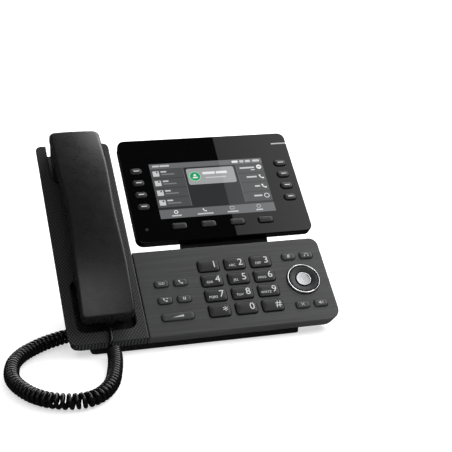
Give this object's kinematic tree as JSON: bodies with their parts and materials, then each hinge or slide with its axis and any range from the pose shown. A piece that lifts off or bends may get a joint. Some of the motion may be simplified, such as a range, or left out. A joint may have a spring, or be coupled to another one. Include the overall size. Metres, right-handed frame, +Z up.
{
  "type": "desk ip phone",
  "caption": "Sloping desk phone: keypad, tilting colour display, lift-off handset in a cradle on the left, curly handset cord and a flat stand.",
  "frame": {"origin": "middle of the footprint of the phone without its cord, on the table surface", "axes": "+X to the user's right across the keypad, +Y away from the user, +Z up"},
  "size_m": [0.2993, 0.2741, 0.1634],
  "materials": {
    "black_abs": "textured matte black moulding",
    "grey_abs": "dark grey, fine brushed lines",
    "satin_black_abs": "smooth satin black moulding",
    "gloss_black": "piano-black front",
    "key_plastic": "satin charcoal key caps",
    "display_key_plastic": "satin dark grey key caps",
    "chrome_trim": "bright plated rim",
    "spun_aluminium": "spun metal, concentric lines",
    "light_pipe": "frosted clear light pipe",
    "clear_plug": "clear moulded plug",
    "screen_glass": "colour display under a clear window",
    "circuit_board": "green solder mask",
    "silicone": "translucent silicone key mat",
    "steel": "plain steel",
    "cord_pvc": "black PVC cord jacket"
  },
  "bodies": {
    "base": {"base_shell": "black_abs", "cradle_cover": "black_abs", "keypad_cover": "grey_abs", "foot_stand": "black_abs", "main_board": "circuit_board", "key_mat": "silicone", "base_speaker": "steel", "network_sockets": "black_abs", "hinge_bracket": "black_abs", "hinge_pin": "steel", "nav_rim": "chrome_trim", "cord_lead_handset": "cord_pvc", "curly_cord": "cord_pvc", "cord_lead_base": "cord_pvc", "cord_plug_base": "clear_plug"},
    "display": {"display_front": "gloss_black", "display_back": "black_abs", "lcd_screen": "screen_glass", "display_board": "circuit_board", "message_light": "light_pipe"},
    "handset": {"handset_back": "satin_black_abs", "handset_face": "satin_black_abs", "handset_receiver": "steel", "handset_microphone": "steel"},
    "hook_switch": {"hook_switch": "key_plastic"},
    "nav_ring": {"nav_ring": "key_plastic"},
    "ok_button": {"ok_button": "spun_aluminium"},
    "volume_rocker": {"volume_rocker": "key_plastic"},
    "dial_key_star": {"dial_key_star": "key_plastic"},
    "dial_key_0": {"dial_key_0": "key_plastic"},
    "dial_key_hash": {"dial_key_hash": "key_plastic"},
    "dial_key_7": {"dial_key_7": "key_plastic"},
    "dial_key_8": {"dial_key_8": "key_plastic"},
    "dial_key_9": {"dial_key_9": "key_plastic"},
    "dial_key_4": {"dial_key_4": "key_plastic"},
    "dial_key_5": {"dial_key_5": "key_plastic"},
    "dial_key_6": {"dial_key_6": "key_plastic"},
    "dial_key_1": {"dial_key_1": "key_plastic"},
    "dial_key_2": {"dial_key_2": "key_plastic"},
    "dial_key_3": {"dial_key_3": "key_plastic"},
    "message_key": {"message_key": "key_plastic"},
    "directory_key": {"directory_key": "key_plastic"},
    "transfer_key": {"transfer_key": "key_plastic"},
    "hold_key": {"hold_key": "key_plastic"},
    "mute_key": {"mute_key": "key_plastic"},
    "headset_key": {"headset_key": "key_plastic"},
    "cancel_key": {"cancel_key": "key_plastic"},
    "speaker_key": {"speaker_key": "key_plastic"},
    "line_key_left_1": {"line_key_left_1": "display_key_plastic"},
    "line_key_left_2": {"line_key_left_2": "display_key_plastic"},
    "line_key_left_3": {"line_key_left_3": "display_key_plastic"},
    "line_key_left_4": {"line_key_left_4": "display_key_plastic"},
    "line_key_right_1": {"line_key_right_1": "display_key_plastic"},
    "line_key_right_2": {"line_key_right_2": "display_key_plastic"},
    "line_key_right_3": {"line_key_right_3": "display_key_plastic"},
    "line_key_right_4": {"line_key_right_4": "display_key_plastic"},
    "soft_key_1": {"soft_key_1": "display_key_plastic"},
    "soft_key_2": {"soft_key_2": "display_key_plastic"},
    "soft_key_3": {"soft_key_3": "display_key_plastic"},
    "soft_key_4": {"soft_key_4": "display_key_plastic"}
  },
  "joints": [
    {"name": "display_tilt", "type": "hinge", "parent": "base", "child": "display", "pos_m": [0.0383, -0.00037, 0.06348], "axis": [1, 0, 0], "range_deg": [-10, 25]},
    {"name": "handset_lift", "type": "slide", "parent": "base", "child": "handset", "axis": [0, -0.6494, 0.7604], "range_m": [0, 0.08]},
    {"name": "hook_switch_travel", "type": "slide", "parent": "base", "child": "hook_switch", "axis": [0, -0.6494, 0.7604], "range_m": [0, 0.004]},
    {"name": "dial_key_star_press", "type": "slide", "parent": "base", "child": "dial_key_star", "axis": [0, 0.6494, -0.7604], "range_m": [0, 0.0012], "stiffness_N_per_m": 400, "springref_m": -0.001},
    {"name": "dial_key_0_press", "type": "slide", "parent": "base", "child": "dial_key_0", "axis": [0, 0.6494, -0.7604], "range_m": [0, 0.0012], "stiffness_N_per_m": 400, "springref_m": -0.001},
    {"name": "dial_key_hash_press", "type": "slide", "parent": "base", "child": "dial_key_hash", "axis": [0, 0.6494, -0.7604], "range_m": [0, 0.0012], "stiffness_N_per_m": 400, "springref_m": -0.001},
    {"name": "dial_key_7_press", "type": "slide", "parent": "base", "child": "dial_key_7", "axis": [0, 0.6494, -0.7604], "range_m": [0, 0.0012], "stiffness_N_per_m": 400, "springref_m": -0.001},
    {"name": "dial_key_8_press", "type": "slide", "parent": "base", "child": "dial_key_8", "axis": [0, 0.6494, -0.7604], "range_m": [0, 0.0012], "stiffness_N_per_m": 400, "springref_m": -0.001},
    {"name": "dial_key_9_press", "type": "slide", "parent": "base", "child": "dial_key_9", "axis": [0, 0.6494, -0.7604], "range_m": [0, 0.0012], "stiffness_N_per_m": 400, "springref_m": -0.001},
    {"name": "dial_key_4_press", "type": "slide", "parent": "base", "child": "dial_key_4", "axis": [0, 0.6494, -0.7604], "range_m": [0, 0.0012], "stiffness_N_per_m": 400, "springref_m": -0.001},
    {"name": "dial_key_5_press", "type": "slide", "parent": "base", "child": "dial_key_5", "axis": [0, 0.6494, -0.7604], "range_m": [0, 0.0012], "stiffness_N_per_m": 400, "springref_m": -0.001},
    {"name": "dial_key_6_press", "type": "slide", "parent": "base", "child": "dial_key_6", "axis": [0, 0.6494, -0.7604], "range_m": [0, 0.0012], "stiffness_N_per_m": 400, "springref_m": -0.001},
    {"name": "dial_key_1_press", "type": "slide", "parent": "base", "child": "dial_key_1", "axis": [0, 0.6494, -0.7604], "range_m": [0, 0.0012], "stiffness_N_per_m": 400, "springref_m": -0.001},
    {"name": "dial_key_2_press", "type": "slide", "parent": "base", "child": "dial_key_2", "axis": [0, 0.6494, -0.7604], "range_m": [0, 0.0012], "stiffness_N_per_m": 400, "springref_m": -0.001},
    {"name": "dial_key_3_press", "type": "slide", "parent": "base", "child": "dial_key_3", "axis": [0, 0.6494, -0.7604], "range_m": [0, 0.0012], "stiffness_N_per_m": 400, "springref_m": -0.001},
    {"name": "message_key_press", "type": "slide", "parent": "base", "child": "message_key", "axis": [0, 0.6494, -0.7604], "range_m": [0, 0.0012], "stiffness_N_per_m": 400, "springref_m": -0.001},
    {"name": "directory_key_press", "type": "slide", "parent": "base", "child": "directory_key", "axis": [0, 0.6494, -0.7604], "range_m": [0, 0.0012], "stiffness_N_per_m": 400, "springref_m": -0.001},
    {"name": "transfer_key_press", "type": "slide", "parent": "base", "child": "transfer_key", "axis": [0, 0.6494, -0.7604], "range_m": [0, 0.0012], "stiffness_N_per_m": 400, "springref_m": -0.001},
    {"name": "hold_key_press", "type": "slide", "parent": "base", "child": "hold_key", "axis": [0, 0.6494, -0.7604], "range_m": [0, 0.0012], "stiffness_N_per_m": 400, "springref_m": -0.001},
    {"name": "mute_key_press", "type": "slide", "parent": "base", "child": "mute_key", "axis": [0, 0.6494, -0.7604], "range_m": [0, 0.0012], "stiffness_N_per_m": 400, "springref_m": -0.001},
    {"name": "headset_key_press", "type": "slide", "parent": "base", "child": "headset_key", "axis": [0, 0.6494, -0.7604], "range_m": [0, 0.0012], "stiffness_N_per_m": 400, "springref_m": -0.001},
    {"name": "cancel_key_press", "type": "slide", "parent": "base", "child": "cancel_key", "axis": [0, 0.6494, -0.7604], "range_m": [0, 0.0012], "stiffness_N_per_m": 400, "springref_m": -0.001},
    {"name": "speaker_key_press", "type": "slide", "parent": "base", "child": "speaker_key", "axis": [0, 0.6494, -0.7604], "range_m": [0, 0.0012], "stiffness_N_per_m": 400, "springref_m": -0.001},
    {"name": "ok_button_press", "type": "slide", "parent": "base", "child": "ok_button", "axis": [0, 0.6494, -0.7604], "range_m": [0, 0.0008], "stiffness_N_per_m": 400, "springref_m": -0.001},
    {"name": "line_key_left_1_press", "type": "slide", "parent": "display", "child": "line_key_left_1", "axis": [0, 0.6639, -0.7478], "range_m": [0, 0.001], "stiffness_N_per_m": 400, "springref_m": -0.001},
    {"name": "line_key_left_2_press", "type": "slide", "parent": "display", "child": "line_key_left_2", "axis": [0, 0.6639, -0.7478], "range_m": [0, 0.001], "stiffness_N_per_m": 400, "springref_m": -0.001},
    {"name": "line_key_left_3_press", "type": "slide", "parent": "display", "child": "line_key_left_3", "axis": [0, 0.6639, -0.7478], "range_m": [0, 0.001], "stiffness_N_per_m": 400, "springref_m": -0.001},
    {"name": "line_key_left_4_press", "type": "slide", "parent": "display", "child": "line_key_left_4", "axis": [0, 0.6639, -0.7478], "range_m": [0, 0.001], "stiffness_N_per_m": 400, "springref_m": -0.001},
    {"name": "line_key_right_1_press", "type": "slide", "parent": "display", "child": "line_key_right_1", "axis": [0, 0.6639, -0.7478], "range_m": [0, 0.001], "stiffness_N_per_m": 400, "springref_m": -0.001},
    {"name": "line_key_right_2_press", "type": "slide", "parent": "display", "child": "line_key_right_2", "axis": [0, 0.6639, -0.7478], "range_m": [0, 0.001], "stiffness_N_per_m": 400, "springref_m": -0.001},
    {"name": "line_key_right_3_press", "type": "slide", "parent": "display", "child": "line_key_right_3", "axis": [0, 0.6639, -0.7478], "range_m": [0, 0.001], "stiffness_N_per_m": 400, "springref_m": -0.001},
    {"name": "line_key_right_4_press", "type": "slide", "parent": "display", "child": "line_key_right_4", "axis": [0, 0.6639, -0.7478], "range_m": [0, 0.001], "stiffness_N_per_m": 400, "springref_m": -0.001},
    {"name": "soft_key_1_press", "type": "slide", "parent": "display", "child": "soft_key_1", "axis": [0, 0.6639, -0.7478], "range_m": [0, 0.001], "stiffness_N_per_m": 400, "springref_m": -0.001},
    {"name": "soft_key_2_press", "type": "slide", "parent": "display", "child": "soft_key_2", "axis": [0, 0.6639, -0.7478], "range_m": [0, 0.001], "stiffness_N_per_m": 400, "springref_m": -0.001},
    {"name": "soft_key_3_press", "type": "slide", "parent": "display", "child": "soft_key_3", "axis": [0, 0.6639, -0.7478], "range_m": [0, 0.001], "stiffness_N_per_m": 400, "springref_m": -0.001},
    {"name": "soft_key_4_press", "type": "slide", "parent": "display", "child": "soft_key_4", "axis": [0, 0.6639, -0.7478], "range_m": [0, 0.001], "stiffness_N_per_m": 400, "springref_m": -0.001},
    {"name": "nav_ring_rock", "type": "hinge", "parent": "base", "child": "nav_ring", "pos_m": [0.0965, -0.05194, 0.03917], "axis": [1, 0, 0], "range_deg": [-3, 3], "stiffness_Nm_per_rad": 0.3},
    {"name": "volume_rocker_rock", "type": "hinge", "parent": "base", "child": "volume_rocker", "pos_m": [-0.0248, -0.07078, 0.02242], "axis": [0, 0.7604, 0.6494], "range_deg": [-3, 3], "stiffness_Nm_per_rad": 0.3}
  ],
  "couplings": [
    {"joint": "hook_switch_travel", "follows": "handset_lift", "ratio": 0.05}
  ]
}
